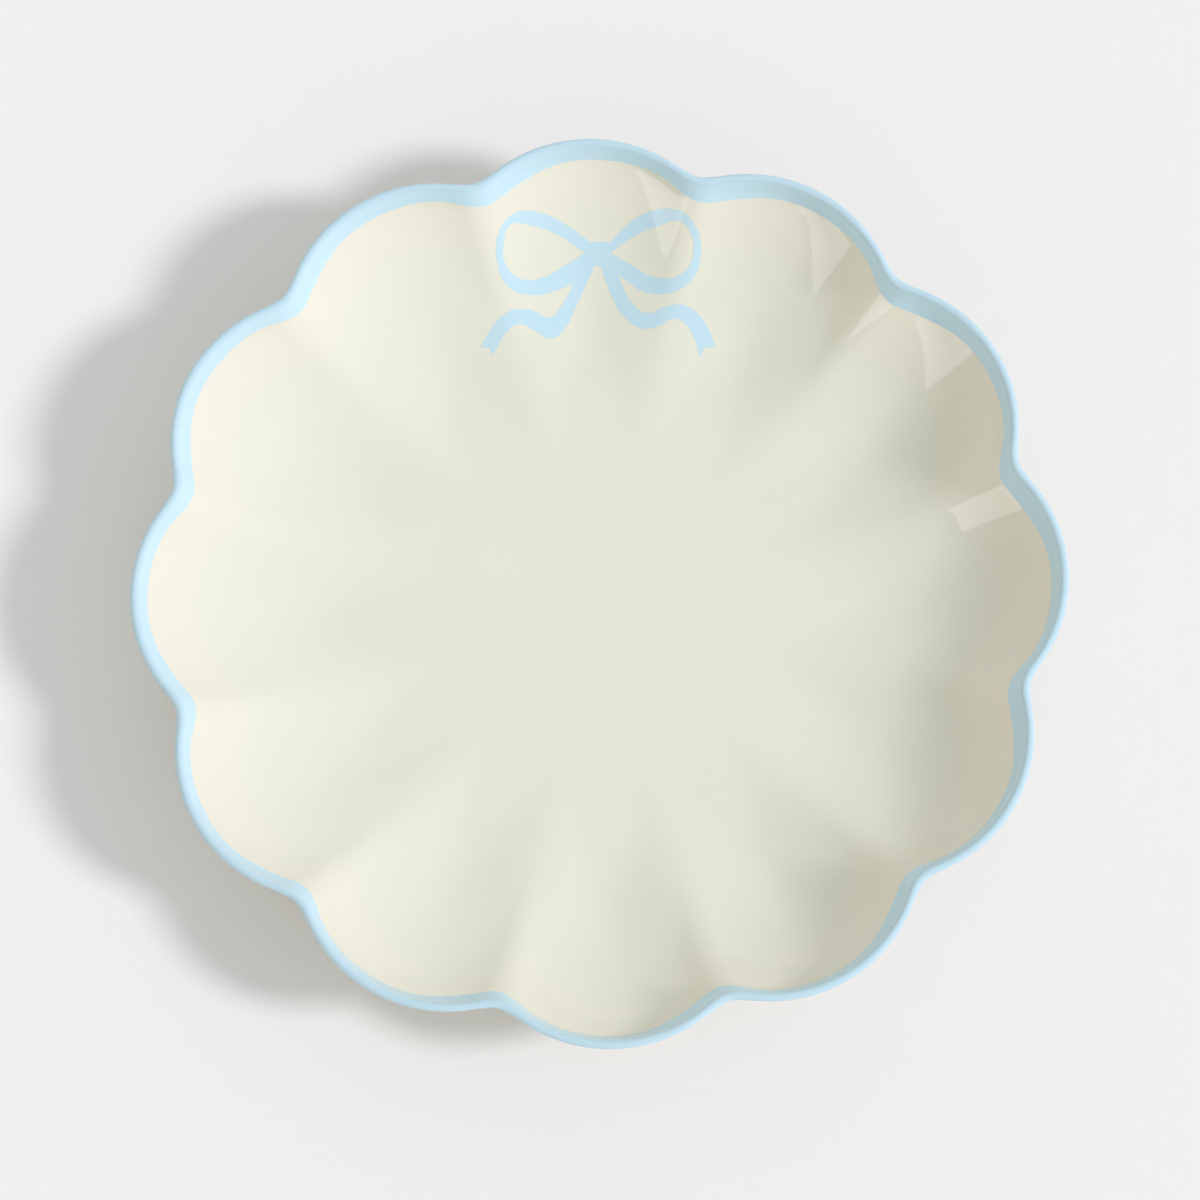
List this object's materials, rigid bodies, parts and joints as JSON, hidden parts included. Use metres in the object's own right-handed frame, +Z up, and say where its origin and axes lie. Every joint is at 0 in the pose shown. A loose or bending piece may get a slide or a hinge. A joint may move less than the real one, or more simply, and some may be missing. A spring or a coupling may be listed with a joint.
{
  "type": "scalloped dessert plate",
  "caption": "Round scalloped ceramic dessert plate with a fluted well, a foot ring, a coloured rim band and a ribbon-bow motif, for serving a single portion.",
  "frame": {"origin": "on the axis of the plate, in the plane that the foot ring stands on", "axes": "+Z up out of the well; +Y through the lobe of the rim that carries the ribbon bow; +X through the lobe a quarter turn to the right of it"},
  "size_m": [0.21, 0.21, 0.029],
  "materials": {
    "clay": "matte, fired and unglazed",
    "cream_glaze": "glossy",
    "blue_glaze": "glossy",
    "blue_transfer": "glossy"
  },
  "bodies": {
    "root": {"plate_body": "clay", "face_glaze": "cream_glaze", "rim_band": "blue_glaze", "bow_motif": "blue_transfer", "back_glaze": "cream_glaze", "base_glaze": "cream_glaze"}
  },
  "joints": []
}
